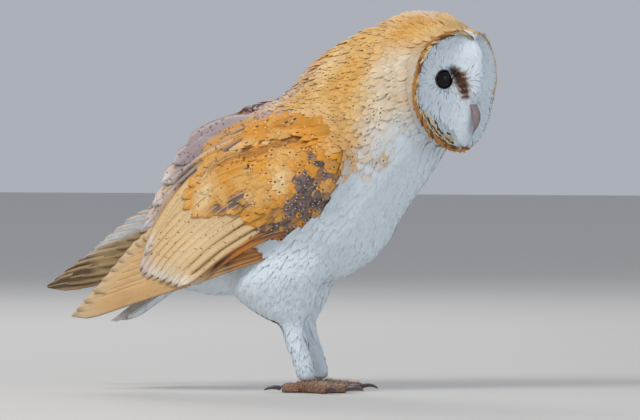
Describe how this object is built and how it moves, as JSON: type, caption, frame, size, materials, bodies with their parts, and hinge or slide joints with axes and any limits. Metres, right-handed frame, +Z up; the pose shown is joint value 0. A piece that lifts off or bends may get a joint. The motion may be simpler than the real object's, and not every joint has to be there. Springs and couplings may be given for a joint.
{
  "type": "barn owl model",
  "caption": "Still, life-size barn owl standing on both feet, leaning forward with folded wings and the head turned to its right.",
  "frame": {"origin": "on the ground under the middle of the whole bird", "axes": "+X to where the body points, +Y to the bird's left, +Z up"},
  "size_m": [0.3406, 0.1198, 0.2849],
  "materials": {
    "golden_plumage": "soft",
    "white_plumage": "soft",
    "flight_feathers": "soft",
    "eye": "gloss",
    "bill": "satin",
    "toe_skin": "rough",
    "claw": "satin"
  },
  "bodies": {
    "root": {"trunk": "golden_plumage", "neck": "golden_plumage", "head": "golden_plumage", "facial_disc_right": "white_plumage", "facial_disc_left": "white_plumage", "eye_right": "eye", "eye_left": "eye", "bill_upper": "bill", "bill_lower": "bill", "tail": "white_plumage", "scapulars_right": "golden_plumage", "wing_right": "golden_plumage", "tertials_right": "flight_feathers", "secondaries_right": "flight_feathers", "primaries_right": "flight_feathers", "thigh_right": "white_plumage", "tarsus_right": "white_plumage", "foot_right": "toe_skin", "claw_inner_right": "claw", "claw_middle_right": "claw", "claw_outer_right": "claw", "claw_hind_right": "claw", "scapulars_left": "golden_plumage", "wing_left": "golden_plumage", "tertials_left": "flight_feathers", "secondaries_left": "flight_feathers", "primaries_left": "flight_feathers", "thigh_left": "white_plumage", "tarsus_left": "white_plumage", "foot_left": "toe_skin", "claw_inner_left": "claw", "claw_middle_left": "claw", "claw_outer_left": "claw", "claw_hind_left": "claw"}
  },
  "joints": []
}
